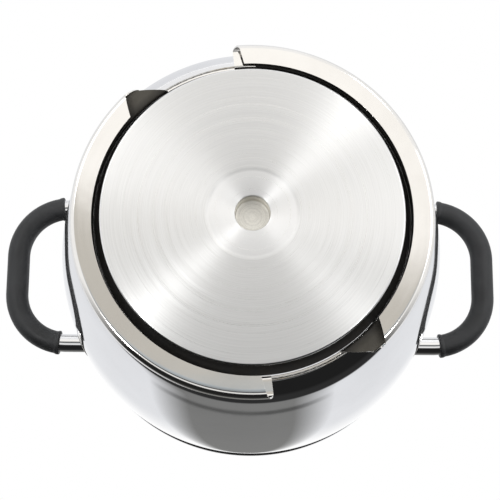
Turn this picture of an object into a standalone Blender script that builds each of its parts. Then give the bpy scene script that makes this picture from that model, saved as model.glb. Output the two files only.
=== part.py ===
"""Stainless cooking bowl with a bayonet foot ring and two side handles.

Frame: +Z up, mouth up, the base disc rests on z = 0, the bowl's axis is the Z axis
and the handles stand out along +X and -X. All sizes below are in millimetres.
"""

import math

import bmesh
import bpy
from mathutils import Vector

MM = 0.001
GAP = 0.3                    # between pieces that touch

# Bowl shell
WALL = 1.0
BELLY_R = 121.0              # widest outside radius
BELLY_Z = 140.0
LOWER_ARC_R = 400.0          # side below the belly
UPPER_ARC_R = 250.0          # side above the belly
CORNER_R = 20.0              # between the side and the flat floor
RIM_Z = 184.0                # centre of the rolled rim bead
RIM_BEAD_R = 1.8
SHELL_BOTTOM_Z = 14.0        # underside of the floor

# Base disc: steel cap over an aluminium core
CAP_SHEET = 0.8
CAP_R = 86.0
CAP_EDGE_BEND_R = 1.2        # outside radius between the face and the cap's side
CAP_EDGE_Z = 5.2
CAP_HOLE_R = 10.1
CAP_DISH_R = 25.8            # shallow dish round the hole
CAP_DISH_DEPTH = 0.2
CORE_R = 84.6
CORE_BORE_R = 9.8
CORE_BORE_TOP_Z = 8.8        # the bore is blind

# Bayonet foot ring: neck, web, skirt and flat flange of one folded sheet
RING_SHEET = 1.0
RING_NECK_R = 91.2           # radii and heights of the sheet's middle
RING_TOP_Z = 14.3
RING_LIP_Z = 13.4            # lower edge of the neck where the web is left out
RING_WEB_Z = 11.7
RING_SKIRT_R = 103.2
RING_FLANGE_Z = 5.8
RING_EDGE_R = 91.0           # free inner edge of the flange
NECK_BEND_R = 0.8
WEB_BEND_R = 2.4
SKIRT_BEND_R = 3.2
FLANGE_STOP_DEG = (39.3, 44.2)   # flange's stop end: at its free edge and at the skirt
WEB_STOP_DEG = (56.8, 48.9)      # web's stop end: at the neck and at its outer bend
SKIRT_STOP_DEG = 45.4            # skirt's stop end
FLANGE_ENTRY_DEG = (86.6, 84.9)  # flange's entry end: at its free edge and at the skirt
WEB_ENTRY_DEG = 83.0             # web's entry end
SKIRT_ENTRY_DEG = 84.2           # skirt's entry end
RING_WELD_R = 0.6

# Handles
TUBE_R = 6.0
TUBE_BORE_R = 5.0
GRIP_R = 7.5
GRIP_LIP_R = 8.0
GRIP_LIP_LENGTH = 2.0
HANDLE_Z = 169.0
ARM_Y = 46.7                 # half the spacing of the two arms
BAR_X = 158.0                # centre line of the outer bar
BEND_R = 34.0
GRIP_END_X = 127.5           # where the grip stops on each arm
HANDLE_WELD_R = 1.2

# Facets
SHELL_STEPS = 64
RING_SEGMENT_STEPS = 28
RING_SWEEP_STEPS = 4
RING_GAP_STEPS = 6
RING_WELD_STEPS = 60
DISC_STEPS = 64
TUBE_SIDES = 12
BEAD_SIDES = 6
HANDLE_WELD_STEPS = 16


def clear_scene():
    """Remove every object that is already there."""
    for item in list(bpy.data.objects):
        bpy.data.objects.remove(item, do_unlink=True)


def make_material(name, colour, roughness, metallic):
    """A Principled material for one sub-part."""
    material = bpy.data.materials.new(name)
    material.use_nodes = True
    shader = material.node_tree.nodes["Principled BSDF"]
    shader.inputs["Base Color"].default_value = (*colour, 1.0)
    shader.inputs["Roughness"].default_value = roughness
    shader.inputs["Metallic"].default_value = metallic
    return material


def add_object(name, bm, material=None):
    """Turn a bmesh in millimetres into a smooth-shaded object in metres."""
    bmesh.ops.scale(bm, vec=(MM, MM, MM), verts=bm.verts)
    mesh = bpy.data.meshes.new(name)
    bm.to_mesh(mesh)
    bm.free()
    mesh.shade_smooth()
    mesh.set_sharp_from_angle(angle=math.radians(35))
    item = bpy.data.objects.new(name, mesh)
    bpy.context.scene.collection.objects.link(item)
    if material:
        mesh.materials.append(material)
    return item


def arc(centre, radius, start_deg, end_deg, count):
    """Points (r, z) on an arc, both ends included."""
    points = []
    for step in range(count + 1):
        angle = math.radians(start_deg + (end_deg - start_deg) * step / count)
        points.append((centre[0] + radius * math.cos(angle), centre[1] + radius * math.sin(angle)))
    return points


def grid_faces(bm, rows, close_rows, close_columns):
    """Quads between rows of vertices that all have the same length."""
    columns = len(rows[0])
    for i in range(len(rows) if close_rows else len(rows) - 1):
        lower, upper = rows[i], rows[(i + 1) % len(rows)]
        for j in range(columns if close_columns else columns - 1):
            k = (j + 1) % columns
            bm.faces.new((lower[j], lower[k], upper[k], upper[j]))


def turned(profile, steps):
    """Closed solid made by turning a closed (r, z) outline round the Z axis.

    The outline runs down its outer side. A point at r = 0 is shared by every step.
    """
    bm = bmesh.new()
    rows = []
    for radius, height in profile:
        if radius == 0:
            rows.append([bm.verts.new((0, 0, height))] * steps)
            continue
        row = []
        for step in range(steps):
            angle = 2 * math.pi * step / steps
            row.append(bm.verts.new((radius * math.cos(angle), radius * math.sin(angle), height)))
        rows.append(row)
    for i, upper in enumerate(rows):
        lower = rows[(i + 1) % len(rows)]
        for j in range(steps):
            k = (j + 1) % steps
            corners = [upper[j], lower[j], lower[k], upper[k]]
            corners = list(dict.fromkeys(corners))
            if len(corners) > 2:
                bm.faces.new(corners)
    return bm


def swept(path, radius, sides, closed=False):
    """Round bar along a path; an open one has flat ends."""
    bm = bmesh.new()
    rows = []
    side = Vector((0, 0, 1))
    count = len(path)
    for i, point in enumerate(path):
        before = path[i - 1] if closed or i else path[0]
        after = path[(i + 1) % count] if closed or i < count - 1 else path[-1]
        along = (after - before).normalized()
        if closed:
            side = (point - sum(path, Vector()) / count).normalized()
        across = along.cross(side).normalized()
        upright = across.cross(along).normalized()
        local = radius[i] if isinstance(radius, list) else radius
        row = []
        for step in range(sides):
            angle = 2 * math.pi * step / sides
            row.append(bm.verts.new(point + local * (math.cos(angle) * across + math.sin(angle) * upright)))
        rows.append(row)
    grid_faces(bm, rows, closed, True)
    if not closed:
        bm.faces.new(rows[0])
        bm.faces.new(rows[-1])
    bmesh.ops.recalc_face_normals(bm, faces=bm.faces)
    return bm


def cut(target, cutter):
    """Subtract a cutter, which stays in the file as a hidden guide."""
    cutter.hide_render = True
    cutter.display_type = "WIRE"
    modifier = target.modifiers.new("cut_" + cutter.name, "BOOLEAN")
    modifier.operation = "DIFFERENCE"
    modifier.solver = "EXACT"
    modifier.object = cutter


def belly_point(offset, height):
    """Outside radius of the side, moved out by an offset, at a height."""
    arc_r = LOWER_ARC_R if height < BELLY_Z else UPPER_ARC_R
    return BELLY_R - arc_r + math.sqrt((arc_r + offset) ** 2 - (height - BELLY_Z) ** 2)


def corner_centre():
    """Centre of the corner arc, which meets the floor and the lower side smoothly."""
    height = SHELL_BOTTOM_Z + CORNER_R
    reach = math.sqrt((LOWER_ARC_R - CORNER_R) ** 2 - (BELLY_Z - height) ** 2)
    return BELLY_R - LOWER_ARC_R + reach, height


def shell_outline(offset, top, rows_below=6, rows_above=3, corner_rows=4):
    """Points from the mouth down the side and round the corner to the floor."""
    centre = corner_centre()
    low = math.degrees(math.asin((centre[1] - BELLY_Z) / (LOWER_ARC_R - CORNER_R)))
    high = math.degrees(math.asin((top - BELLY_Z) / (UPPER_ARC_R + offset)))
    points = arc((BELLY_R - UPPER_ARC_R, BELLY_Z), UPPER_ARC_R + offset, high, 0, rows_above)
    points += arc((BELLY_R - LOWER_ARC_R, BELLY_Z), LOWER_ARC_R + offset, 0, low, rows_below)[1:]
    points += arc(centre, CORNER_R + offset, low, -90, corner_rows)[1:]
    return points


def make_bowl_shell():
    """Drawn bowl: side, corner, flat floor and a rolled rim bead."""
    steel = make_material("bowl_shell", (0.78, 0.78, 0.79), 0.08, 1.0)
    bead_centre = (belly_point(-WALL, RIM_Z) + RIM_BEAD_R, RIM_Z)
    meet_z = RIM_Z - math.sqrt(RIM_BEAD_R ** 2 - (RIM_BEAD_R - WALL) ** 2)
    bead = arc(bead_centre, RIM_BEAD_R, 180, -60, 6)
    outer = shell_outline(0, meet_z - 0.4)
    inner = shell_outline(-WALL, RIM_Z - 2, rows_below=5, rows_above=2, corner_rows=3)
    profile = bead + outer + [(0, SHELL_BOTTOM_Z), (0, SHELL_BOTTOM_Z + WALL)] + inner[::-1]
    return add_object("bowl_shell", turned(profile, SHELL_STEPS), steel)


def make_base_core():
    """Aluminium heat spreader with a blind bore for the sensor."""
    aluminium = make_material("base_core", (0.62, 0.60, 0.57), 0.45, 1.0)
    low = CAP_SHEET + GAP + CAP_DISH_DEPTH
    high = SHELL_BOTTOM_Z - GAP
    profile = [(0, high), (CORE_R, high), (CORE_R, low + 0.5), (CORE_R - 0.5, low),
               (CORE_BORE_R, low), (CORE_BORE_R, CORE_BORE_TOP_Z), (0, CORE_BORE_TOP_Z)]
    return add_object("base_core", turned(profile, DISC_STEPS), aluminium)


def make_base_cap():
    """Thin steel cap with an upright side, a shallow central dish and a hole."""
    steel = make_material("base_cap", (0.70, 0.70, 0.70), 0.25, 1.0)
    bend = (CAP_R - CAP_EDGE_BEND_R, CAP_EDGE_BEND_R)
    outer = [(CAP_R, CAP_EDGE_Z)] + arc(bend, CAP_EDGE_BEND_R, 0, -90, 3)
    inner = [(CAP_R - CAP_SHEET, CAP_EDGE_Z)] + arc(bend, CAP_EDGE_BEND_R - CAP_SHEET, 0, -90, 2)
    dish_edge = CAP_DISH_R + 1.5
    under = [(dish_edge, 0), (CAP_DISH_R, CAP_DISH_DEPTH), (CAP_HOLE_R + 0.4, CAP_DISH_DEPTH),
             (CAP_HOLE_R, CAP_DISH_DEPTH + 0.3)]
    over = [(CAP_HOLE_R, CAP_SHEET + CAP_DISH_DEPTH), (CAP_DISH_R, CAP_SHEET + CAP_DISH_DEPTH),
            (dish_edge, CAP_SHEET)]
    profile = outer + under + over + inner[::-1]
    return add_object("base_cap", turned(profile, DISC_STEPS), steel)


def ring_line():
    """Middle line of the ring's sheet, from the neck's top to the flange's free edge.

    Also gives how many of its points make the lip, and how many the neck and web.
    """
    lip = [(RING_NECK_R, RING_TOP_Z), (RING_NECK_R, RING_LIP_Z)]
    neck_bend = arc((RING_NECK_R + NECK_BEND_R, RING_WEB_Z + NECK_BEND_R), NECK_BEND_R, 180, 270, 2)
    web_bend = arc((RING_SKIRT_R - WEB_BEND_R, RING_WEB_Z - WEB_BEND_R), WEB_BEND_R, 90, 0, 3)
    skirt_bend = arc((RING_SKIRT_R - SKIRT_BEND_R, RING_FLANGE_Z + SKIRT_BEND_R), SKIRT_BEND_R, 0, -90, 4)
    web = lip + neck_bend + web_bend
    line = web + skirt_bend + [(RING_EDGE_R, RING_FLANGE_Z)]
    return [Vector(point) for point in line], len(lip), len(web)


def sheet_sides(line):
    """Points half a sheet's thickness to the outer and the inner side of its middle line."""
    outer, inner = [], []
    for i, point in enumerate(line):
        before = (point - line[i - 1]).normalized() if i else Vector((0, 0))
        after = (line[i + 1] - point).normalized() if i < len(line) - 1 else Vector((0, 0))
        along = (before + after).normalized()
        offset = Vector((-along.y, along.x)) * RING_SHEET / 2
        outer.append(point + offset)
        inner.append(point - offset)
    return outer, inner


def blend(at_low, at_high, value, low, high):
    """Value between two ends, by where another value lies between its own two ends."""
    share = min(1.0, max(0.0, (value - low) / (high - low)))
    return at_low + (at_high - at_low) * share


def ring_end_angles(line, web_count):
    """For each point of the line: its entry end, its flange stop and its web stop, in degrees."""
    entry, stop, web_stop = [], [], []
    bend_r = RING_SKIRT_R - WEB_BEND_R
    bend_z = RING_WEB_Z - WEB_BEND_R
    for i, (radius, height) in enumerate(line):
        if i < web_count:
            entry.append(blend(WEB_ENTRY_DEG, SKIRT_ENTRY_DEG, height, RING_WEB_Z, bend_z))
            stop.append(FLANGE_STOP_DEG[1])
            sweep = blend(WEB_STOP_DEG[0], WEB_STOP_DEG[1], radius, RING_NECK_R, bend_r)
            web_stop.append(blend(sweep, SKIRT_STOP_DEG, height, RING_WEB_Z, bend_z))
        else:
            low_entry = blend(FLANGE_ENTRY_DEG[0], FLANGE_ENTRY_DEG[1], radius, RING_EDGE_R, RING_SKIRT_R)
            entry.append(blend(SKIRT_ENTRY_DEG, low_entry, height, bend_z, RING_FLANGE_Z))
            stop.append(blend(FLANGE_STOP_DEG[0], FLANGE_STOP_DEG[1], radius, RING_EDGE_R, RING_SKIRT_R))
            web_stop.append(stop[-1])
    return entry, stop, web_stop


def ring_column(bm, side, angles_deg):
    """Vertices of one side of the sheet, each turned to its own angle."""
    column = []
    for (radius, height), angle_deg in zip(side, angles_deg):
        angle = math.radians(angle_deg)
        column.append(bm.verts.new((radius * math.cos(angle), radius * math.sin(angle), height)))
    return column


def make_foot_ring():
    """Folded ring, lofted angle by angle: full section, then web only, then lip only, twice."""
    steel = make_material("foot_ring", (0.80, 0.78, 0.74), 0.10, 1.0)
    line, lip_count, web_count = ring_line()
    outer, inner = sheet_sides(line)
    entry, stop, web_stop = ring_end_angles(line, web_count)
    zones = (([angle - 180 for angle in entry], stop, len(line), RING_SEGMENT_STEPS),
             (stop, web_stop, web_count, RING_SWEEP_STEPS),
             (web_stop, entry, lip_count, RING_GAP_STEPS))
    bm = bmesh.new()
    columns = []
    for turn_deg in (0, 180):
        for begin, end, count, steps in zones:
            for step in range(steps):
                angles = [turn_deg + a + (b - a) * step / steps for a, b in zip(begin, end)]
                columns.append((ring_column(bm, outer, angles), ring_column(bm, inner, angles), count))
    for i, (outer_a, inner_a, count) in enumerate(columns):
        outer_b, inner_b, _ = columns[(i + 1) % len(columns)]
        last = count - 1
        for j in range(last):
            bm.faces.new((outer_a[j], outer_a[j + 1], outer_b[j + 1], outer_b[j]))
            bm.faces.new((inner_a[j], inner_b[j], inner_b[j + 1], inner_a[j + 1]))
        bm.faces.new((outer_a[0], outer_b[0], inner_b[0], inner_a[0]))
        bm.faces.new((outer_a[last], inner_a[last], inner_b[last], outer_b[last]))
        before = columns[i - 1][2]
        for j in range(min(count, before) - 1, max(count, before) - 1):
            bm.faces.new((outer_a[j], outer_a[j + 1], inner_a[j + 1], inner_a[j]))
    loose = [vertex for vertex in bm.verts if not vertex.link_faces]
    bmesh.ops.delete(bm, geom=loose, context="VERTS")
    bmesh.ops.recalc_face_normals(bm, faces=bm.faces)
    return add_object("foot_ring", bm, steel)


def make_foot_ring_weld():
    """Weld bead in the corner between the ring's neck and the shell."""
    metal = make_material("foot_ring_weld", (0.55, 0.54, 0.52), 0.35, 1.0)
    centre = corner_centre()
    radius = RING_NECK_R + RING_SHEET / 2 + GAP + 0.05 + RING_WELD_R
    reach = CORNER_R + GAP + 0.05 + RING_WELD_R
    height = centre[1] - math.sqrt(reach ** 2 - (radius - centre[0]) ** 2)
    profile = arc((radius, height), RING_WELD_R, 90, -270 + 360 / BEAD_SIDES, BEAD_SIDES - 1)
    return add_object("foot_ring_weld", turned(profile, RING_WELD_STEPS), metal)


def handle_path(side, start_x, bend_steps=6):
    """Centre line of one handle: out along one arm, across the bar and back."""
    bend_x = BAR_X - BEND_R
    bend_y = ARM_Y - BEND_R
    points = [(start_x, ARM_Y)]
    if start_x < GRIP_END_X:
        points.append((min(bend_x, GRIP_END_X) - 1, ARM_Y))
    for step in range(bend_steps + 1):
        angle = math.radians(90 - 90 * step / bend_steps)
        point = (bend_x + BEND_R * math.cos(angle), bend_y + BEND_R * math.sin(angle))
        if point[0] > start_x + 0.5 and point[0] > points[-1][0] + 0.5 or step == bend_steps:
            points.append(point)
    points += [(x, -y) for x, y in reversed(points)]
    return [Vector((side * x, y, HANDLE_Z)) for x, y in points]


def wall_guide():
    """Solid with the shell's outside shape plus the gap, which trims the tubes."""
    outline = shell_outline(GAP, RIM_Z)
    return add_object("wall_guide", turned([(0, RIM_Z)] + outline + [(0, outline[-1][1])], SHELL_STEPS))


def make_handle_tube(name, side, guide, steel):
    """Bent steel tube whose two ends are cut to the bowl's side."""
    tube = add_object(name, swept(handle_path(side, 104.0), TUBE_R, TUBE_SIDES), steel)
    bore_path = handle_path(side, 103.0)
    bore = add_object(name + "_bore_guide", swept(bore_path, TUBE_BORE_R, TUBE_SIDES))
    cut(tube, bore)
    cut(tube, guide)
    return tube


def grip_path(side):
    """Centre line of the grip with stations for the lip at each end."""
    bend_x = BAR_X - BEND_R
    bend_y = ARM_Y - BEND_R
    lip_inner = GRIP_END_X + GRIP_LIP_LENGTH
    stations = []
    for x in (GRIP_END_X, lip_inner, lip_inner + 0.8):
        angle = math.acos((x - bend_x) / BEND_R)
        stations.append((x, bend_y + BEND_R * math.sin(angle)))
    first = 60
    for step in range(6):
        angle = math.radians(first * (1 - step / 5))
        stations.append((bend_x + BEND_R * math.cos(angle), bend_y + BEND_R * math.sin(angle)))
    stations += [(x, -y) for x, y in reversed(stations)]
    return [Vector((side * x, y, HANDLE_Z)) for x, y in stations]


def make_handle_grip(name, side, rubber):
    """Moulded sleeve over the tube, with a small lip at each end."""
    path = grip_path(side)
    radii = [GRIP_R] * len(path)
    for i in (0, 1, -1, -2):
        radii[i] = GRIP_LIP_R
    grip = add_object(name, swept(path, radii, TUBE_SIDES), rubber)
    hole_path = handle_path(side, 112.0, bend_steps=12)
    hole = add_object(name + "_hole_guide", swept(hole_path, TUBE_R + GAP + 0.15, TUBE_SIDES))
    cut(grip, hole)
    return grip


def make_handle_weld(name, side, front, metal):
    """Weld bead round one tube end, lying on the bowl's side."""
    reach = TUBE_R + GAP + 0.1 + HANDLE_WELD_R
    clear = GAP + 0.15 + HANDLE_WELD_R
    path = []
    for step in range(HANDLE_WELD_STEPS):
        angle = 2 * math.pi * step / HANDLE_WELD_STEPS
        y = front * ARM_Y + reach * math.cos(angle)
        z = HANDLE_Z + reach * math.sin(angle)
        x = math.sqrt((belly_point(0, z) + clear) ** 2 - y ** 2)
        path.append(Vector((side * x, y, z)))
    return add_object(name, swept(path, HANDLE_WELD_R, BEAD_SIDES, closed=True), metal)


def build():
    """Make every piece of the bowl."""
    clear_scene()
    make_bowl_shell()
    make_base_core()
    make_base_cap()
    make_foot_ring()
    make_foot_ring_weld()
    steel = make_material("handle_tube", (0.80, 0.80, 0.80), 0.10, 1.0)
    rubber = make_material("handle_grip", (0.035, 0.037, 0.040), 0.55, 0.0)
    metal = make_material("handle_weld", (0.60, 0.59, 0.57), 0.30, 1.0)
    guide = wall_guide()
    for side_name, side in (("left", -1), ("right", 1)):
        make_handle_tube(f"handle_tube_{side_name}", side, guide, steel)
        make_handle_grip(f"handle_grip_{side_name}", side, rubber)
        for end_name, front in (("front", -1), ("back", 1)):
            make_handle_weld(f"handle_weld_{side_name}_{end_name}", side, front, metal)
    guide.hide_render = True


build()
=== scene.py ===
import math

import bmesh
import bpy
from mathutils import Matrix, Vector


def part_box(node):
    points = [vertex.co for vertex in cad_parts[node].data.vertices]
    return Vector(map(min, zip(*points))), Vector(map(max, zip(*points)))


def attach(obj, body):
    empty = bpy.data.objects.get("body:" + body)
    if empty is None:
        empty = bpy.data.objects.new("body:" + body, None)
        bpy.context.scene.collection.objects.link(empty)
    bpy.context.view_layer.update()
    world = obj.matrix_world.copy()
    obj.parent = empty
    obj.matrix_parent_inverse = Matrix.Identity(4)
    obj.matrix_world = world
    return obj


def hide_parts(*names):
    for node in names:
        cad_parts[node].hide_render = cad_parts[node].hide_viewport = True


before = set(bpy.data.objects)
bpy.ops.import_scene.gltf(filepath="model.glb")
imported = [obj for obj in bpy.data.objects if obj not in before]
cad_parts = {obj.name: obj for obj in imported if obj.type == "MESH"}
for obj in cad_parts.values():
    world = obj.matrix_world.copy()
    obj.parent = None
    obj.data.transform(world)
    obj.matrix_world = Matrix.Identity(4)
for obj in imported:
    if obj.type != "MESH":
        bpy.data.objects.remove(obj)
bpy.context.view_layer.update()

BODY = "root"
MM = 0.001


def node_box_mm(node):
    """A node's lowest and highest corners, in millimetres."""
    low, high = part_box(node)
    return Vector(low) / MM, Vector(high) / MM


# ---------------------------------------------------------------- sizes, in millimetres, from the frame
shell_low, shell_high = node_box_mm("bowl_shell")
cap_high = node_box_mm("base_cap")[1]
core_low, core_high = node_box_mm("base_core")
ring_low, ring_high = node_box_mm("foot_ring")
grip_low, grip_high = node_box_mm("handle_grip_right")
tube_low, tube_high = node_box_mm("handle_tube_right")

GAP = 0.3
CLEARANCE = 0.05
WALL = 1.0
BELLY_R = shell_high.x
FLOOR_Z = shell_low.z
BELLY_Z = 140.0
LOWER_ARC_R = 400.0
UPPER_ARC_R = 250.0
CORNER_R = 20.0
RIM_BEAD_R = 1.8
RIM_BEAD_END_DEG = -62
RIM_JOIN = 0.4
RIM_Z = shell_high.z - RIM_BEAD_R
SATIN_TOP_Z = RIM_Z - 1.2

CAP_R = cap_high.x
CAP_EDGE_BEND_R = 1.2
CAP_EDGE_Z = cap_high.z
CAP_EDGE_BAND = 1.5
CAP_SHEET = 0.8
CAP_HOLE_R = 10.1
CAP_HOLE_LIP_R = 0.5
CAP_DISH_R = 25.8
CAP_DISH_EDGE_R = CAP_DISH_R + 1.5
CAP_DISH_SLOPE = 3.0
CAP_DISH_DEPTH = 0.2
CORE_R = core_high.x
CORE_EASE = 0.35
CORE_CHAMFER = 0.5
CORE_BORE_R = 9.8
CORE_BORE_TOP_Z = 8.8
CORE_BORE_END_R = 0.8

SHEET = 1.0
RING_SKIRT_R = ring_high.x - SHEET / 2
RING_FLANGE_Z = ring_low.z + SHEET / 2
RING_TOP_Z = ring_high.z
RING_LIP_Z = RING_TOP_Z - 0.9
RING_WEB_Z = RING_TOP_Z - 2.6
RING_NECK_R = RING_SKIRT_R - 12.0
RING_EDGE_R = RING_SKIRT_R - 12.2
NECK_BEND_R = 0.8
WEB_BEND_R = 2.4
SKIRT_BEND_R = 3.2
FLANGE_STOP_DEG = (39.3, 44.2)
WEB_STOP_DEG = (56.8, 48.9)
SKIRT_STOP_DEG = 45.4
FLANGE_ENTRY_DEG = (86.6, 84.9)
WEB_ENTRY_DEG = 83.0
SKIRT_ENTRY_DEG = 84.2
# Angle and radii of the paler patch in the painted gap shade, near the ring's stop ends.
PALE_PATCH_DEG = 48.0
PALE_PATCH_R = (90.0, 96.0)
RING_EDGE_BEVEL = 0.22
RING_WELD_R = 0.6
RING_WELD_RIPPLES = 120
RING_WELD_RIPPLE_SHARE = 0.07

HANDLE_Z = (grip_low.z + grip_high.z) / 2
TUBE_R = (tube_high.z - tube_low.z) / 2
ARM_Y = tube_high.y - TUBE_R
GRIP_R = 7.5
GRIP_EDGE_R = 0.7
GRIP_LIP_LENGTH = 1.6
GRIP_LIP_FADE = 1.8
GRIP_LIP_R = (grip_high.z - grip_low.z) / 2
BAR_X = grip_high.x - GRIP_R
BEND_R = 34.0
GRIP_END_X = grip_low.x + 0.9
TUBE_START_X = 109.0
HANDLE_WELD_R = 1.2
HANDLE_WELD_RIPPLES = 24
HANDLE_WELD_RIPPLE_SHARE = 0.06

TURN_STEPS = 240
CAP_TURN_STEPS = 360
CAP_DISH_STEPS = 12
RIM_STEPS = 20
UPPER_STEPS = 12
LOWER_STEPS = 24
CORNER_STEPS = 20
RING_SEGMENT_STEPS = 110
RING_SWEEP_STEPS = 10
RING_GAP_STEPS = 24
# Steps at each segment's entry end whose inner side stays polished; further on the inner side gets painted
# shade.
RING_UNSHADED_STEPS = 6
GRIP_BEND_STEPS = 120
END_FACE_STEP = 1e-3


# ---------------------------------------------------------------- mesh helpers
def add_piece(name, bm, nodes, materials, bevel=0.0):
    """Turn a bmesh in millimetres into a shown piece that stands for CAD nodes."""
    bmesh.ops.scale(bm, vec=(MM, MM, MM), verts=bm.verts)
    mesh = bpy.data.meshes.new(name)
    bm.to_mesh(mesh)
    bm.free()
    for material in materials:
        mesh.materials.append(material)
    mesh.shade_smooth()
    mesh.set_sharp_from_angle(angle=math.radians(40))
    piece = bpy.data.objects.new(name, mesh)
    bpy.context.scene.collection.objects.link(piece)
    if bevel:
        modifier = piece.modifiers.new("soft_edges", "BEVEL")
        modifier.width = bevel * MM
        modifier.segments = 2
        modifier.limit_method = "ANGLE"
        modifier.angle_limit = math.radians(50)
        modifier.harden_normals = True
        modifier.material = 0
    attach(piece, BODY)
    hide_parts(*nodes)
    return piece


def on_circle(centre, radius, angle_deg):
    """Point at an angle on a circle."""
    angle = math.radians(angle_deg)
    return centre[0] + radius * math.cos(angle), centre[1] + radius * math.sin(angle)


def arc(centre, radius, start_deg, end_deg, count):
    """Points on an arc, both ends included."""
    turn_deg = end_deg - start_deg
    return [on_circle(centre, radius, start_deg + turn_deg * i / count) for i in range(count + 1)]


def smooth(share):
    """Ease a share from 0 to 1 in and out."""
    return share * share * (3 - 2 * share)


def around(steps):
    """Angles of the steps of one turn, in radians."""
    return [2 * math.pi * step / steps for step in range(steps)]


def turned(profile, steps=TURN_STEPS):
    """Closed solid of revolution; the outline runs down its outer side."""
    bm = bmesh.new()
    rows = []
    for radius, height in profile:
        if radius == 0:
            rows.append([bm.verts.new((0, 0, height))] * steps)
            continue
        circle = [(radius * math.cos(a), radius * math.sin(a), height) for a in around(steps)]
        rows.append([bm.verts.new(spot) for spot in circle])
    for i, upper in enumerate(rows):
        lower = rows[(i + 1) % len(rows)]
        for j in range(steps):
            k = (j + 1) % steps
            corners = list(dict.fromkeys([upper[j], lower[j], lower[k], upper[k]]))
            if len(corners) > 2:
                bm.faces.new(corners)
    return bm


def swept(path, radii, sides, closed=False, trim=None):
    """Round bar along a path, with a radius at each point; trim moves the vertices of its ends."""
    bm = bmesh.new()
    count = len(path)
    middle = sum(path, Vector()) / count
    rows = []
    for i, point in enumerate(path):
        before = path[i - 1] if closed or i else path[0]
        after = path[(i + 1) % count] if closed or i < count - 1 else path[-1]
        along = (after - before).normalized()
        side = (point - middle).normalized() if closed else Vector((0, 0, 1))
        across = along.cross(side).normalized()
        upright = across.cross(along).normalized()
        row = []
        for angle in around(sides):
            spot = point + radii[i] * (math.cos(angle) * across + math.sin(angle) * upright)
            if trim and i in (0, count - 1):
                spot = trim(spot)
            row.append(bm.verts.new(spot))
        rows.append(row)
    for i in range(count if closed else count - 1):
        lower, upper = rows[i], rows[(i + 1) % count]
        for j in range(sides):
            k = (j + 1) % sides
            bm.faces.new((lower[j], lower[k], upper[k], upper[j]))
    if not closed:
        bm.faces.new(rows[0])
        bm.faces.new(rows[-1])
    bmesh.ops.recalc_face_normals(bm, faces=bm.faces)
    return bm


def wall_radius(height, offset=0.0):
    """Outside radius of the bowl's side at a height, moved out by an offset."""
    arc_r = LOWER_ARC_R if height < BELLY_Z else UPPER_ARC_R
    return BELLY_R - arc_r + math.sqrt((arc_r + offset) ** 2 - (height - BELLY_Z) ** 2)


def corner_centre():
    """Centre of the arc between the floor and the lower side."""
    height = FLOOR_Z + CORNER_R
    reach = math.sqrt((LOWER_ARC_R - CORNER_R) ** 2 - (BELLY_Z - height) ** 2)
    return BELLY_R - LOWER_ARC_R + reach, height


def side_outline(offset, top):
    """Points from the mouth down the side and round the corner to the floor."""
    centre = corner_centre()
    low = math.degrees(math.asin((centre[1] - BELLY_Z) / (LOWER_ARC_R - CORNER_R)))
    high = math.degrees(math.asin((top - BELLY_Z) / (UPPER_ARC_R + offset)))
    points = arc((BELLY_R - UPPER_ARC_R, BELLY_Z), UPPER_ARC_R + offset, high, 0, UPPER_STEPS)
    points += arc((BELLY_R - LOWER_ARC_R, BELLY_Z), LOWER_ARC_R + offset, 0, low, LOWER_STEPS)[1:]
    points += arc(centre, CORNER_R + offset, low, -90, CORNER_STEPS)[1:]
    return points


# ---------------------------------------------------------------- material helpers
def new_material(name, **inputs):
    """A Principled material with its plain values set on the shader's own sockets."""
    material = bpy.data.materials.new(name)
    material.use_nodes = True
    shader = material.node_tree.nodes["Principled BSDF"]
    for socket, value in inputs.items():
        shader.inputs[socket.replace("_", " ")].default_value = value
    return material, material.node_tree, shader


def add_node(tree, kind, settings=None, **inputs):
    """Add a node. An input is named, or i and its number; a socket is linked, and any other value is set."""
    item = tree.nodes.new(kind)
    for key, value in (settings or {}).items():
        setattr(item, key, value)
    for key, value in inputs.items():
        numbered = key[0] == "i" and key[1:].isdigit()
        socket = item.inputs[int(key[1:]) if numbered else key.replace("_", " ")]
        if isinstance(value, bpy.types.NodeSocket):
            tree.links.new(value, socket)
        else:
            socket.default_value = value
    return item


def math_node(tree, operation, first, second=0.0):
    """One maths operation on two values."""
    return add_node(tree, "ShaderNodeMath", {"operation": operation}, i0=first, i1=second).outputs[0]


def plus(tree, first, second):
    """Sum of two values."""
    return math_node(tree, "ADD", first, second)


def times(tree, first, second):
    """Product of two values."""
    return math_node(tree, "MULTIPLY", first, second)


def weighted(tree, first, first_share, second, second_share):
    """Sum of two values, each times its share."""
    return plus(tree, times(tree, first, first_share), times(tree, second, second_share))


def length_2d(tree, first, second):
    """Length of a vector with two parts."""
    return math_node(tree, "SQRT", plus(tree, times(tree, first, first), times(tree, second, second)))


def remap(tree, value, low, high, to_low, to_high):
    """Clamped linear map of a value."""
    item = add_node(tree, "ShaderNodeMapRange", {"clamp": True}, i0=value, i1=low, i2=high, i3=to_low,
                    i4=to_high)
    return item.outputs[0]


def rise(tree, value, low, high):
    """0 up to a low value and 1 from a high one."""
    return remap(tree, value, low, high, 0.0, 1.0)


def fall(tree, value, low, high):
    """1 up to a low value and 0 from a high one."""
    return remap(tree, value, low, high, 1.0, 0.0)


def mix_colour(tree, factor, first, second):
    """Blend of two colours."""
    item = add_node(tree, "ShaderNodeMix", {"data_type": "RGBA"}, i0=factor)
    for index, value in ((6, first), (7, second)):
        if isinstance(value, bpy.types.NodeSocket):
            tree.links.new(value, item.inputs[index])
        else:
            item.inputs[index].default_value = (*value, 1.0)
    return item.outputs[2]


def object_axes(tree):
    """Object coordinates, which are the row frame in metres, and their three parts."""
    place = add_node(tree, "ShaderNodeTexCoord").outputs["Object"]
    parts = add_node(tree, "ShaderNodeSeparateXYZ", i0=place)
    return place, parts.outputs


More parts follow.
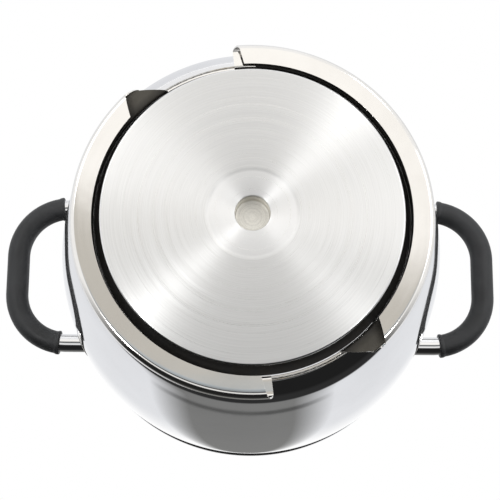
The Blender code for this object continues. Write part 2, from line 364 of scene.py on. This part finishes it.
def noise(tree, vector, scale, detail=3.0, rough=0.55):
    """Noise value over a vector."""
    item = add_node(tree, "ShaderNodeTexNoise", None, Vector=vector, Scale=scale, Detail=detail,
                    Roughness=rough)
    return item.outputs["Fac"]


def line_noise(tree, value, scale, detail=4.0):
    """Noise along one value only, as for turning marks."""
    item = add_node(tree, "ShaderNodeTexNoise", {"noise_dimensions": "1D"}, W=value, Scale=scale,
                    Detail=detail, Roughness=0.7)
    return item.outputs["Fac"]


def round_noise(tree, parts, scale, detail, rough):
    """Noise in streaks round the Z axis; its scale is for the radius, the angle and the height."""
    angle = math_node(tree, "ARCTAN2", parts[1], parts[0])
    radius = length_2d(tree, parts[0], parts[1])
    polar = add_node(tree, "ShaderNodeCombineXYZ", None, i0=radius, i1=angle, i2=parts[2]).outputs[0]
    streaked = add_node(tree, "ShaderNodeMapping", None, Vector=polar, Scale=scale).outputs[0]
    return noise(tree, streaked, 1.0, detail, rough)


def set_tones(tree, shader, value, low, high, first, second):
    """Base colour that goes from one tone to another with a value."""
    tone = mix_colour(tree, rise(tree, value, low, high), first, second)
    tree.links.new(tone, shader.inputs["Base Color"])


def set_round_grain(tree, shader):
    """Anisotropy that follows turning marks round the Z axis."""
    tangent = add_node(tree, "ShaderNodeTangent", {"direction_type": "RADIAL", "axis": "Z"}).outputs[0]
    tree.links.new(tangent, shader.inputs["Tangent"])


def add_bump(tree, shader, height, strength, depth):
    """Bump from a height value; depth is in metres."""
    item = add_node(tree, "ShaderNodeBump", None, Strength=strength, Distance=depth, Height=height)
    tree.links.new(item.outputs[0], shader.inputs["Normal"])


# ---------------------------------------------------------------- materials
STEEL_IOR = 2.4
GRAIN_TURN = 0.25


def polished_steel(name, colour, dark, gloss, smear):
    """Mirror-polished steel: faint polishing streaks, smears and a slight waviness."""
    material, tree, shader = new_material(name, Metallic=1.0, IOR=STEEL_IOR)
    place, parts = object_axes(tree)
    smears = noise(tree, place, 22.0, 4.0)
    rubbed = round_noise(tree, parts, (700.0, 3.0, 700.0), 5.0, 0.7)
    set_tones(tree, shader, smears, 0.35, 0.7, colour, dark)
    film = remap(tree, smears, 0.45, 0.75, 0.0, smear)
    fine = remap(tree, rubbed, 0.3, 0.8, 0.0, smear * 0.8)
    rough = plus(tree, plus(tree, film, fine), gloss)
    tree.links.new(rough, shader.inputs["Roughness"])
    waves = noise(tree, place, 45.0, 2.0)
    height = plus(tree, waves, times(tree, rubbed, 0.015))
    add_bump(tree, shader, height, 0.25, 0.00012)
    return material


def satin_steel(name):
    """Inside of the bowl: satin steel rubbed round the axis."""
    material, tree, shader = new_material(name, Metallic=1.0, Anisotropic=0.6,
                                          Anisotropic_Rotation=GRAIN_TURN, IOR=STEEL_IOR)
    place, parts = object_axes(tree)
    rubbed = round_noise(tree, parts, (1800.0, 4.0, 1800.0), 6.0, 0.7)
    patches = noise(tree, place, 14.0, 3.0)
    set_tones(tree, shader, patches, 0.35, 0.7, (0.90, 0.90, 0.905), (0.84, 0.84, 0.85))
    tree.links.new(remap(tree, rubbed, 0.3, 0.75, 0.20, 0.34), shader.inputs["Roughness"])
    set_round_grain(tree, shader)
    add_bump(tree, shader, rubbed, 0.25, 0.00004)
    return material


def turned_steel(name):
    """Face of the base cap: fine concentric turning, and a painted highlight that brightens the dish at the
    centre.
    """
    material, tree, shader = new_material(name, Metallic=1.0, Anisotropic=0.82,
                                          Anisotropic_Rotation=GRAIN_TURN, IOR=STEEL_IOR)
    parts = object_axes(tree)[1]
    radius = length_2d(tree, parts[0], parts[1])
    fine = line_noise(tree, radius, 2600.0)
    broad = line_noise(tree, radius, 260.0, 2.0)
    streaks = round_noise(tree, parts, (1900.0, 1.6, 1.0), 4.0, 0.65)
    marks = weighted(tree, fine, 0.6, streaks, 0.4)
    face = mix_colour(tree, rise(tree, marks, 0.35, 0.68), (0.78, 0.78, 0.775), (0.92, 0.92, 0.915))
    # Painted highlight: a brighter colour over the dish at the centre.
    dish = fall(tree, radius, (CAP_DISH_EDGE_R - CAP_DISH_SLOPE) * MM, (CAP_DISH_EDGE_R - 1) * MM)
    tint = mix_colour(tree, times(tree, dish, 0.8), face, (0.93, 0.93, 0.93))
    tree.links.new(tint, shader.inputs["Base Color"])
    fine_rough = remap(tree, marks, 0.3, 0.7, 0.26, 0.40)
    broad_rough = remap(tree, broad, 0.3, 0.7, -0.03, 0.03)
    tree.links.new(plus(tree, fine_rough, broad_rough), shader.inputs["Roughness"])
    set_round_grain(tree, shader)
    height = plus(tree, marks, times(tree, broad, 0.3))
    add_bump(tree, shader, height, 0.25, 0.00002)
    return material


def machined_metal(name, light, dark):
    """Dull machined metal with coarse tool marks and specks."""
    material, tree, shader = new_material(name, Metallic=1.0)
    place, parts = object_axes(tree)
    marks = line_noise(tree, length_2d(tree, parts[0], parts[1]), 1100.0, 3.0)
    specks = noise(tree, place, 900.0, 4.0, 0.7)
    both = weighted(tree, marks, 0.55, specks, 0.45)
    set_tones(tree, shader, both, 0.35, 0.65, dark, light)
    tree.links.new(remap(tree, specks, 0.3, 0.7, 0.34, 0.52), shader.inputs["Roughness"])
    add_bump(tree, shader, both, 0.6, 0.00012)
    return material


def painted_gap_shade(name):
    """Painted shade: near-black steel for the closed gap round the base disc, paler in a patch near the
    ring's stop ends.
    """
    material, tree, shader = new_material(name, Metallic=0.3)
    place, parts = object_axes(tree)
    patches = noise(tree, place, 160.0, 4.0)
    # Near-black colour that is painted shade for the dark gap between the parts.
    scale = mix_colour(tree, rise(tree, patches, 0.35, 0.7), (0.006, 0.005, 0.004), (0.020, 0.017, 0.013))
    radius = length_2d(tree, parts[0], parts[1])
    # A paler patch in the painted shade near the ring's stop ends, at both ends of one line through the
    # axis.
    patch_angle = math.radians(PALE_PATCH_DEG)
    along = weighted(tree, parts[0], math.cos(patch_angle), parts[1], math.sin(patch_angle))
    towards = math_node(tree, "DIVIDE", math_node(tree, "ABSOLUTE", along), radius)
    outwards = rise(tree, radius, PALE_PATCH_R[0] * MM, PALE_PATCH_R[1] * MM)
    pale_patch_mask = times(tree, rise(tree, towards, 0.988, 0.999), outwards)
    tint = mix_colour(tree, pale_patch_mask, scale, (0.075, 0.068, 0.055))
    tree.links.new(tint, shader.inputs["Base Color"])
    tree.links.new(remap(tree, patches, 0.3, 0.7, 0.5, 0.75), shader.inputs["Roughness"])
    add_bump(tree, shader, patches, 0.3, 0.0001)
    return material


def grip_rubber(name):
    """Moulded silicone: charcoal, fine grain, a little dust and rubbed patches."""
    material, tree, shader = new_material(name, Metallic=0.0, IOR=1.45)
    place = object_axes(tree)[0]
    grain = noise(tree, place, 2600.0, 3.0, 0.6)
    patches = noise(tree, place, 55.0, 4.0)
    set_tones(tree, shader, patches, 0.35, 0.7, (0.020, 0.021, 0.022), (0.034, 0.035, 0.037))
    broad_rough = remap(tree, patches, 0.3, 0.7, 0.44, 0.56)
    fine_rough = remap(tree, grain, 0.3, 0.7, -0.04, 0.04)
    tree.links.new(plus(tree, broad_rough, fine_rough), shader.inputs["Roughness"])
    add_bump(tree, shader, grain, 0.35, 0.00005)
    return material


def weld_metal(name):
    """Dressed weld bead with a faint straw heat tint."""
    material, tree, shader = new_material(name, Metallic=1.0)
    place = object_axes(tree)[0]
    ripple = noise(tree, place, 420.0, 3.0)
    heat = noise(tree, place, 90.0, 2.0)
    steel = mix_colour(tree, rise(tree, ripple, 0.35, 0.7), (0.50, 0.49, 0.47), (0.68, 0.67, 0.65))
    tint = mix_colour(tree, remap(tree, heat, 0.5, 0.75, 0.0, 0.5), steel, (0.55, 0.45, 0.30))
    tree.links.new(tint, shader.inputs["Base Color"])
    tree.links.new(remap(tree, ripple, 0.3, 0.7, 0.22, 0.42), shader.inputs["Roughness"])
    add_bump(tree, shader, ripple, 0.5, 0.0002)
    return material


# ---------------------------------------------------------------- pieces
def assign_faces(piece, index, chosen):
    """Give the faces whose centre, in millimetres, passes a test another of the piece's materials."""
    for face in piece.data.polygons:
        centre = face.center / MM
        if chosen(math.hypot(centre.x, centre.y), centre.z, face.normal):
            face.material_index = index


def make_bowl_shell(outside, inside, underside):
    """Bellied shell with a rolled rim; the inside is satin, and the underside inside the foot ring gets
    painted shade.
    """
    bead_centre = (wall_radius(RIM_Z, -WALL) + RIM_BEAD_R, RIM_Z)
    meet_z = RIM_Z - math.sqrt(RIM_BEAD_R ** 2 - (RIM_BEAD_R - WALL) ** 2)
    bead = arc(bead_centre, RIM_BEAD_R, 180, RIM_BEAD_END_DEG, RIM_STEPS)
    outer = side_outline(0, meet_z - RIM_JOIN)
    floor = [(CORE_R + CORE_CHAMFER, FLOOR_Z), (0, FLOOR_Z), (0, FLOOR_Z + WALL)]
    inner = side_outline(-WALL, RIM_Z - 1)[::-1]
    piece = add_piece("bowl_shell_fine", turned(bead + outer + floor + inner), ["bowl_shell"],
                      [outside, inside, underside])
    corner_top = FLOOR_Z + CORNER_R

    def is_inside(radius, height, normal):
        side = height > corner_top and radius < wall_radius(height, -WALL / 2)
        low = height <= corner_top and (normal.z > 0.05 or radius == 0)
        return height < SATIN_TOP_Z and (side or low)

    def is_underside(radius, height, normal):
        return radius < RING_NECK_R - SHEET and height < FLOOR_Z + 1 and normal.z < -0.5

    assign_faces(piece, 1, is_inside)
    # The underside inside the foot ring gets the painted gap shade.
    assign_faces(piece, 2, is_underside)
    return piece


def make_base_core(metal, scale):
    """Aluminium disc with a blind bore; its rim gets painted shade."""
    low, high = core_low.z, core_high.z
    side = [(0, high), (CORE_R - CORE_EASE, high), (CORE_R, high - CORE_EASE),
            (CORE_R, low + CORE_CHAMFER), (CORE_R - CORE_CHAMFER, low)]
    mouth = [(CORE_BORE_R + CORE_EASE, low), (CORE_BORE_R, low + CORE_EASE)]
    end_centre = (CORE_BORE_R - CORE_BORE_END_R, CORE_BORE_TOP_Z - CORE_BORE_END_R)
    end = arc(end_centre, CORE_BORE_END_R, 0, 90, 6) + [(0, CORE_BORE_TOP_Z)]
    piece = add_piece("base_core_fine", turned(side + mouth + end), ["base_core"],
                      [metal, scale])
    # The rim, in the gap, gets painted shade.
    assign_faces(piece, 1, lambda radius, height, normal: radius > CORE_R - 1)
    return piece


def make_base_cap(face, rim):
    """Turned steel cap: upright side, flat face, shallow dish, rolled hole edge."""
    bend = (CAP_R - CAP_EDGE_BEND_R, CAP_EDGE_BEND_R)
    side = [(CAP_R, CAP_EDGE_Z), (CAP_R, CAP_EDGE_Z - CAP_EDGE_BAND)]
    outer = side + arc(bend, CAP_EDGE_BEND_R, 0, -90, 10)
    inner = [(CAP_R - CAP_SHEET, CAP_EDGE_Z)] + arc(bend, CAP_EDGE_BEND_R - CAP_SHEET, 0, -90, 6)
    shares = [step / CAP_DISH_STEPS for step in range(CAP_DISH_STEPS + 1)]
    dish = [(CAP_DISH_EDGE_R - CAP_DISH_SLOPE * t, CAP_DISH_DEPTH * smooth(t)) for t in shares]
    lip_centre = (CAP_HOLE_R + CAP_HOLE_LIP_R, CAP_DISH_DEPTH + CAP_HOLE_LIP_R)
    lip = arc(lip_centre, CAP_HOLE_LIP_R, 270, 180, 5)
    over = [(CAP_HOLE_R, CAP_SHEET + CAP_DISH_DEPTH), (CAP_DISH_R, CAP_SHEET + CAP_DISH_DEPTH),
            (CAP_DISH_EDGE_R, CAP_SHEET)]
    profile = outer + dish + lip + over + inner[::-1]
    piece = add_piece("base_cap_fine", turned(profile, CAP_TURN_STEPS), ["base_cap"],
                      [face, rim])
    assign_faces(piece, 1, lambda radius, height, normal: radius > CAP_R - CAP_SHEET or normal.z > 0.5)
    return piece


def ring_line():
    """Middle line of the ring's sheet, and how many points reach the lip's and the web's end."""
    lip = [(RING_NECK_R, RING_TOP_Z), (RING_NECK_R, RING_TOP_Z - 0.3), (RING_NECK_R, RING_LIP_Z)]
    neck_bend = arc((RING_NECK_R + NECK_BEND_R, RING_WEB_Z + NECK_BEND_R), NECK_BEND_R, 180, 270, 6)
    web_width = RING_SKIRT_R - WEB_BEND_R - RING_NECK_R - NECK_BEND_R
    web = [(RING_NECK_R + NECK_BEND_R + web_width * t, RING_WEB_Z) for t in (0.2, 0.4, 0.6, 0.8)]
    web_bend = arc((RING_SKIRT_R - WEB_BEND_R, RING_WEB_Z - WEB_BEND_R), WEB_BEND_R, 90, 0, 8)
    skirt_bend = arc((RING_SKIRT_R - SKIRT_BEND_R, RING_FLANGE_Z + SKIRT_BEND_R), SKIRT_BEND_R, 0, -90, 14)
    upper = lip + neck_bend + web + web_bend
    flange_width = RING_SKIRT_R - SKIRT_BEND_R - RING_EDGE_R
    flange = [(RING_EDGE_R + flange_width * t, RING_FLANGE_Z) for t in (0.8, 0.6, 0.4, 0.2, 0.03, 0.0)]
    line = upper + skirt_bend + flange
    return [Vector(point) for point in line], len(lip), len(upper)


def sheet_sides(line):
    """Points half a sheet's thickness to the outer and the inner side of its middle line."""
    outer, inner = [], []
    for i, point in enumerate(line):
        before = (point - line[i - 1]).normalized() if i else Vector((0, 0))
        after = (line[i + 1] - point).normalized() if i < len(line) - 1 else Vector((0, 0))
        along = (before + after).normalized()
        offset = Vector((-along.y, along.x)) * SHEET / 2
        outer.append(point + offset)
        inner.append(point - offset)
    return outer, inner


def blend(at_low, at_high, value, low, high):
    """Value between two ends, by where another value lies between its own two ends."""
    share = min(1.0, max(0.0, (value - low) / (high - low)))
    return at_low + (at_high - at_low) * share


def ring_end_angles(line, web_count):
    """For each point of the line: its entry end, its flange stop and its web stop, in degrees."""
    entry, stop, web_stop = [], [], []
    bend_r = RING_SKIRT_R - WEB_BEND_R
    bend_z = RING_WEB_Z - WEB_BEND_R
    for i, (radius, height) in enumerate(line):
        if i < web_count:
            entry.append(blend(WEB_ENTRY_DEG, SKIRT_ENTRY_DEG, height, RING_WEB_Z, bend_z))
            stop.append(FLANGE_STOP_DEG[1])
            sweep = blend(WEB_STOP_DEG[0], WEB_STOP_DEG[1], radius, RING_NECK_R, bend_r)
            web_stop.append(blend(sweep, SKIRT_STOP_DEG, height, RING_WEB_Z, bend_z))
        else:
            low_entry = blend(FLANGE_ENTRY_DEG[0], FLANGE_ENTRY_DEG[1], radius, RING_EDGE_R, RING_SKIRT_R)
            entry.append(blend(SKIRT_ENTRY_DEG, low_entry, height, bend_z, RING_FLANGE_Z))
            stop.append(blend(FLANGE_STOP_DEG[0], FLANGE_STOP_DEG[1], radius, RING_EDGE_R, RING_SKIRT_R))
            web_stop.append(stop[-1])
    return entry, stop, web_stop


def ring_column(bm, side, angles_deg):
    """Vertices of one side of the sheet, each turned to its own angle."""
    column = []
    for (radius, height), angle_deg in zip(side, angles_deg):
        angle = math.radians(angle_deg)
        column.append(bm.verts.new((radius * math.cos(angle), radius * math.sin(angle), height)))
    return column


def make_foot_ring(polished, scale):
    """Folded ring, lofted angle by angle: full section, then web only, then lip only, twice."""
    line, lip_count, web_count = ring_line()
    outer, inner = sheet_sides(line)
    entry, stop, web_stop = ring_end_angles(line, web_count)
    zones = (([angle - 180 for angle in entry], stop, len(line), RING_SEGMENT_STEPS),
             (stop, web_stop, web_count, RING_SWEEP_STEPS),
             (web_stop, entry, lip_count, RING_GAP_STEPS))
    bm = bmesh.new()
    columns = []
    for turn_deg in (0, 180):
        for begin, end, count, steps in zones:
            for step in range(steps):
                angles = [turn_deg + a + (b - a) * step / steps for a, b in zip(begin, end)]
                # The sheet's inner side gets painted shade, except in the full section's first steps from
                # the entry end.
                near_entry = count == len(line) and step < RING_UNSHADED_STEPS
                inner_material_index = 0 if near_entry else 1
                outer_column = ring_column(bm, outer, angles)
                inner_column = ring_column(bm, inner, angles)
                columns.append((outer_column, inner_column, count, inner_material_index))
    for i, (outer_a, inner_a, count, inner_material_index) in enumerate(columns):
        outer_b, inner_b = columns[(i + 1) % len(columns)][:2]
        last = count - 1
        for j in range(last):
            bm.faces.new((outer_a[j], outer_a[j + 1], outer_b[j + 1], outer_b[j]))
            bm.faces.new((inner_a[j], inner_b[j], inner_b[j + 1], inner_a[j + 1])).material_index = inner_material_index
        bm.faces.new((outer_a[0], outer_b[0], inner_b[0], inner_a[0]))
        bm.faces.new((outer_a[last], inner_a[last], inner_b[last], outer_b[last]))
        before = columns[i - 1][2]
        for j in range(min(count, before) - 1, max(count, before) - 1):
            bm.faces.new((outer_a[j], outer_a[j + 1], inner_a[j + 1], inner_a[j]))
    loose = [vertex for vertex in bm.verts if not vertex.link_faces]
    bmesh.ops.delete(bm, geom=loose, context="VERTS")
    bmesh.ops.recalc_face_normals(bm, faces=bm.faces)
    return add_piece("foot_ring_fine", bm, ["foot_ring"], [polished, scale],
                     bevel=RING_EDGE_BEVEL)


def make_foot_ring_weld(metal):
    """Continuous bead with small ripples, in the corner between neck and shell."""
    centre = corner_centre()
    radius = RING_NECK_R + SHEET / 2 + GAP + CLEARANCE + RING_WELD_R
    reach = CORNER_R + GAP + CLEARANCE + RING_WELD_R
    height = centre[1] - math.sqrt(reach ** 2 - (radius - centre[0]) ** 2)
    path, radii = [], []
    for angle in around(4 * RING_WELD_RIPPLES):
        path.append(Vector((radius * math.cos(angle), radius * math.sin(angle), height)))
        ripple = 1 + math.cos(RING_WELD_RIPPLES * angle)
        radii.append(RING_WELD_R * (1 - RING_WELD_RIPPLE_SHARE * ripple))
    return add_piece("foot_ring_weld_fine", swept(path, radii, 10, closed=True),
                     ["foot_ring_weld"], [metal])


def make_handle_tube(name, side, metal):
    """Bent tube whose ends follow the bowl's side."""
    bend_x, bend_y = BAR_X - BEND_R, ARM_Y - BEND_R
    arm = [(TUBE_START_X + (bend_x - TUBE_START_X) * i / 4, ARM_Y) for i in range(4)]
    half = arm + arc((bend_x, bend_y), BEND_R, 90, 0, 20) + [(BAR_X, bend_y / 2)]
    points = half + [(BAR_X, 0)] + [(x, -y) for x, y in reversed(half)]
    path = [Vector((side * x, y, HANDLE_Z)) for x, y in points]

    def onto_wall(spot):
        reach = wall_radius(spot.z, GAP + CLEARANCE)
        return Vector((side * math.sqrt(reach ** 2 - spot.y ** 2), spot.y, spot.z))

    bm = swept(path, [TUBE_R] * len(path), 40, trim=onto_wall)
    return add_piece(name + "_fine", bm, [name], [metal])


def grip_radius(travelled):
    """Radius of the grip at a distance from its end: a rounded edge, then a lip that fades."""
    if travelled < GRIP_EDGE_R:
        rest = GRIP_EDGE_R - travelled
        return GRIP_LIP_R - GRIP_EDGE_R + math.sqrt(max(0.0, GRIP_EDGE_R ** 2 - rest ** 2))
    fade = smooth(min(1.0, max(0.0, (travelled - GRIP_LIP_LENGTH) / GRIP_LIP_FADE)))
    return GRIP_LIP_R + (GRIP_R - GRIP_LIP_R) * fade


def make_handle_grip(name, side, rubber):
    """Moulded sleeve with a rounded lip at each end and a soft-edged end face."""
    centre = (BAR_X - BEND_R, ARM_Y - BEND_R)
    first = math.degrees(math.acos((GRIP_END_X - centre[0]) / BEND_R))
    shares = [(step / GRIP_BEND_STEPS) ** 1.25 for step in range(GRIP_BEND_STEPS + 1)]
    bend = [on_circle(centre, BEND_R, first * (1 - share)) for share in shares]
    travelled, radii = 0.0, [TUBE_R + GAP, grip_radius(0.0)]
    for before, after in zip(bend, bend[1:]):
        travelled += math.dist(before, after)
        radii.append(grip_radius(travelled))
    half = [bend[0]] + bend + [(BAR_X, centre[1] / 2)]
    points = half + [(BAR_X, 0)] + [(x, -y) for x, y in reversed(half)]
    radii.append(GRIP_R)
    radii += [GRIP_R] + radii[::-1]
    path = [Vector((side * x, y, HANDLE_Z)) for x, y in points]
    path[0] -= (path[2] - path[1]) * END_FACE_STEP
    path[-1] -= (path[-3] - path[-2]) * END_FACE_STEP
    return add_piece(name + "_fine", swept(path, radii, 48), [name], [rubber])


def make_handle_weld(name, side, front, metal):
    """Rippled bead round one tube end, lying on the bowl's side."""
    reach = TUBE_R + GAP + 2 * CLEARANCE + HANDLE_WELD_R
    clear = GAP + 3 * CLEARANCE + HANDLE_WELD_R
    path, radii = [], []
    for angle in around(6 * HANDLE_WELD_RIPPLES):
        y = front * ARM_Y + reach * math.cos(angle)
        z = HANDLE_Z + reach * math.sin(angle)
        path.append(Vector((side * math.sqrt(wall_radius(z, clear) ** 2 - y ** 2), y, z)))
        ripple = 1 + math.cos(HANDLE_WELD_RIPPLES * angle)
        radii.append(HANDLE_WELD_R * (1 - HANDLE_WELD_RIPPLE_SHARE * ripple))
    return add_piece(name + "_fine", swept(path, radii, 12, closed=True), [name], [metal])


def make_pieces():
    """Every shown piece of the bowl."""
    outside = polished_steel("steel_polished", (0.86, 0.86, 0.87), (0.80, 0.80, 0.81), 0.035, 0.035)
    ring = polished_steel("steel_ring", (0.90, 0.885, 0.86), (0.82, 0.80, 0.77), 0.06, 0.06)
    tube = polished_steel("steel_tube", (0.88, 0.88, 0.88), (0.82, 0.82, 0.82), 0.04, 0.04)
    rim = polished_steel("steel_cap_rim", (0.84, 0.84, 0.84), (0.78, 0.78, 0.78), 0.10, 0.06)
    # Painted shade for the closed gap round the base disc: the shell's underside, the core's rim and the
    # ring's inner side.
    scale = painted_gap_shade("steel_painted_gap_shade")
    weld = weld_metal("steel_weld")
    rubber = grip_rubber("silicone_grip")
    core = machined_metal("aluminium_core", (0.88, 0.86, 0.80), (0.62, 0.60, 0.55))
    make_bowl_shell(outside, satin_steel("steel_satin_inside"), scale)
    make_base_core(core, scale)
    make_base_cap(turned_steel("steel_turned"), rim)
    make_foot_ring(ring, scale)
    make_foot_ring_weld(weld)
    for side_name, side in (("left", -1), ("right", 1)):
        make_handle_tube(f"handle_tube_{side_name}", side, tube)
        make_handle_grip(f"handle_grip_{side_name}", side, rubber)
        for end_name, front in (("front", -1), ("back", 1)):
            make_handle_weld(f"handle_weld_{side_name}_{end_name}", side, front, weld)


# ---------------------------------------------------------------- stage, light and camera
CAMERA_ELEVATION_DEG = 75.0
CAMERA_DISTANCE = 0.756
CAMERA_LENS = 97.2
CAMERA_AIM_DEG = 1.58
CAMERA_ROLL_DEG = 2.1
CAMERA_AZIMUTH_DEG = 1.6
CAMERA_PAN_DEG = 0.053

STAGE_Z = -0.6
STAGE_R = 6000.0

WHITE = (1.0, 1.0, 1.0)
UPPER_WHITE = (1.05, 1.05, 1.05)
UPPER_PALE = (0.85, 0.86, 0.88)
UPPER_SHADE = (0.22, 0.22, 0.215)
UPPER_DARK = (0.03, 0.03, 0.03)
ROOM_PALE = (0.98, 0.98, 0.98)
ROOM_DARK = (0.015, 0.015, 0.015)
BOX_LIT = (1.10, 1.08, 1.05)
BOX_WARM = (0.59, 0.565, 0.52)
BOX_COOL = (0.54, 0.60, 0.65)
BOX_DARK = (0.06, 0.06, 0.06)


def floor_material():
    """Pale above and clear from below; reflections show it only outside a circle, except at the front."""
    material, tree, shader = new_material("floor_pale", Base_Color=(0.86, 0.86, 0.86, 1.0), Roughness=0.9)
    parts = object_axes(tree)[1]
    radius = length_2d(tree, parts[0], parts[1])
    facing = math_node(tree, "DIVIDE", parts[1], times(tree, radius, -1.0))
    shown = times(tree, rise(tree, radius, 0.22, 0.30), fall(tree, facing, 0.30, 0.60))
    glossy = add_node(tree, "ShaderNodeLightPath").outputs["Is Glossy Ray"]
    hidden = times(tree, glossy, math_node(tree, "SUBTRACT", 1.0, shown))
    back = add_node(tree, "ShaderNodeNewGeometry").outputs["Backfacing"]
    clear = add_node(tree, "ShaderNodeBsdfTransparent").outputs[0]
    share = math_node(tree, "MAXIMUM", back, hidden)
    mixed = add_node(tree, "ShaderNodeMixShader", None, i0=share, i1=shader.outputs[0], i2=clear)
    tree.links.new(mixed.outputs[0], tree.nodes["Material Output"].inputs["Surface"])
    return material


def make_floor():
    """Pale floor just under the base."""
    bm = bmesh.new()
    bmesh.ops.create_circle(bm, cap_ends=True, segments=96, radius=STAGE_R * MM)
    mesh = bpy.data.meshes.new("floor")
    bm.to_mesh(mesh)
    bm.free()
    mesh.materials.append(floor_material())
    floor = bpy.data.objects.new("floor", mesh)
    floor.location.z = STAGE_Z * MM
    floor.visible_diffuse = False
    floor.visible_transmission = False
    floor.visible_shadow = False
    bpy.context.scene.collection.objects.link(floor)


def upper_surround(tree, x, z, spread, facing):
    """Surround above the horizon: white overhead, pale at the sides, and shaded and dark at the front."""
    front = rise(tree, facing, 0.10, 0.60)
    shade = rise(tree, plus(tree, facing, times(tree, x, 0.11)), 0.745, 0.92)
    pale = mix_colour(tree, rise(tree, spread, 0.14, 0.32), UPPER_WHITE, UPPER_PALE)
    shaded = mix_colour(tree, shade, pale, UPPER_SHADE)
    off_line = math_node(tree, "ABSOLUTE", math_node(tree, "SUBTRACT", z, 0.81))
    line = times(tree, shade, remap(tree, off_line, 0.005, 0.013, 0.65, 0.0))
    lined = mix_colour(tree, line, shaded, UPPER_DARK)
    sloping_top = plus(tree, z, times(tree, facing, -0.2))
    low_front = times(tree, front, fall(tree, sloping_top, 0.26, 0.36))
    return mix_colour(tree, low_front, lined, UPPER_DARK)


def lower_surround(tree, x, y, z, facing):
    """Surround below the horizon: a pale room, dark at the front, and a half-lit soft box underneath."""
    front = times(tree, rise(tree, facing, 0.10, 0.60), rise(tree, z, -0.90, -0.80))
    room = mix_colour(tree, front, ROOM_PALE, ROOM_DARK)
    unlit = mix_colour(tree, rise(tree, y, 0.127, 0.137), BOX_COOL, BOX_WARM)
    fading = mix_colour(tree, fall(tree, y, 0.04, 0.125), unlit, BOX_DARK)
    lit = rise(tree, weighted(tree, x, -0.2, y, 0.98), 0.225, 0.245)
    box = mix_colour(tree, lit, fading, BOX_LIT)
    under = fall(tree, plus(tree, z, times(tree, y, -0.25)), -0.98, -0.88)
    return mix_colour(tree, under, room, box)


def make_world():
    """Soft studio surround that the steel reflects; the camera sees plain white."""
    world = bpy.data.worlds.new("studio")
    bpy.context.scene.world = world
    world.use_nodes = True
    tree = world.node_tree
    tree.nodes.clear()
    direction = add_node(tree, "ShaderNodeTexCoord").outputs["Generated"]
    x, y, z = add_node(tree, "ShaderNodeSeparateXYZ", i0=direction).outputs
    spread = length_2d(tree, x, y)
    facing = math_node(tree, "DIVIDE", times(tree, y, -1.0), math_node(tree, "MAXIMUM", spread, 0.02))
    upper = upper_surround(tree, x, z, spread, facing)
    lower = lower_surround(tree, x, y, z, facing)
    surround = mix_colour(tree, rise(tree, z, -0.10, 0.10), lower, upper)
    seen = add_node(tree, "ShaderNodeLightPath").outputs["Is Camera Ray"]
    colour = mix_colour(tree, seen, surround, WHITE)
    shade = add_node(tree, "ShaderNodeBackground", None, Color=colour, Strength=1.0)
    add_node(tree, "ShaderNodeOutputWorld", None, Surface=shade.outputs[0])


def add_area_light(name, azimuth_deg, elevation_deg, distance, size, watts, glossy=True):
    """Square soft light that faces the bowl and isn't seen by the camera; its distance is in metres."""
    light = bpy.data.lights.new(name, "AREA")
    light.shape = "SQUARE"
    light.size = size
    light.energy = watts
    lamp = bpy.data.objects.new(name, light)
    azimuth, elevation = math.radians(azimuth_deg), math.radians(elevation_deg)
    away = Vector((math.cos(azimuth) * math.cos(elevation), math.sin(azimuth) * math.cos(elevation),
                   math.sin(elevation)))
    lamp.location = away * distance
    lamp.rotation_mode = "QUATERNION"
    lamp.rotation_quaternion = away.to_track_quat("Z", "Y")
    lamp.visible_camera = False
    lamp.visible_glossy = glossy
    bpy.context.scene.collection.objects.link(lamp)


def make_camera():
    """Camera below the base, with the back of the bowl at the top of the picture."""
    data = bpy.data.cameras.new("camera")
    data.lens = CAMERA_LENS
    data.sensor_width = 36.0
    data.dof.use_dof = False
    camera = bpy.data.objects.new("camera", data)
    tilt = math.radians(CAMERA_ELEVATION_DEG)
    forward = Vector((0, math.cos(tilt), math.sin(tilt)))
    up = Vector((0, math.sin(tilt), -math.cos(tilt)))
    right = forward.cross(up)
    aim = math.radians(CAMERA_AIM_DEG)
    looking = forward * math.cos(aim) - up * math.sin(aim)
    upward = up * math.cos(aim) + forward * math.sin(aim)
    turn = Matrix((right, upward, -looking)).transposed()
    roll = Matrix.Rotation(math.radians(CAMERA_ROLL_DEG), 3, "Z")
    pan = Matrix.Rotation(math.radians(CAMERA_PAN_DEG), 3, "Y")
    orbit = Matrix.Rotation(math.radians(CAMERA_AZIMUTH_DEG), 4, "Z")
    away = Matrix.Translation(-forward * CAMERA_DISTANCE)
    camera.matrix_world = orbit @ away @ (turn @ pan @ roll).to_4x4()
    bpy.context.scene.collection.objects.link(camera)
    bpy.context.scene.camera = camera


make_pieces()
make_floor()
make_world()
add_area_light("soft_narrow", 120.6, -42, 1.1, 0.14, 0.65)
add_area_light("soft_low_right", -24.9, -57, 1.1, 0.14, 1.7)
add_area_light("soft_low_left", 204.9, -57, 1.1, 0.16, 1.0)
add_area_light("soft_left", 159.4, -40, 1.2, 0.6, 1.1)
add_area_light("soft_broad", 41.0, -40, 1.2, 0.5, 1.2)
add_area_light("soft_top", 200, 55, 2.2, 1.6, 45.0, glossy=False)
make_camera()
bpy.context.scene.view_settings.view_transform = "Standard"
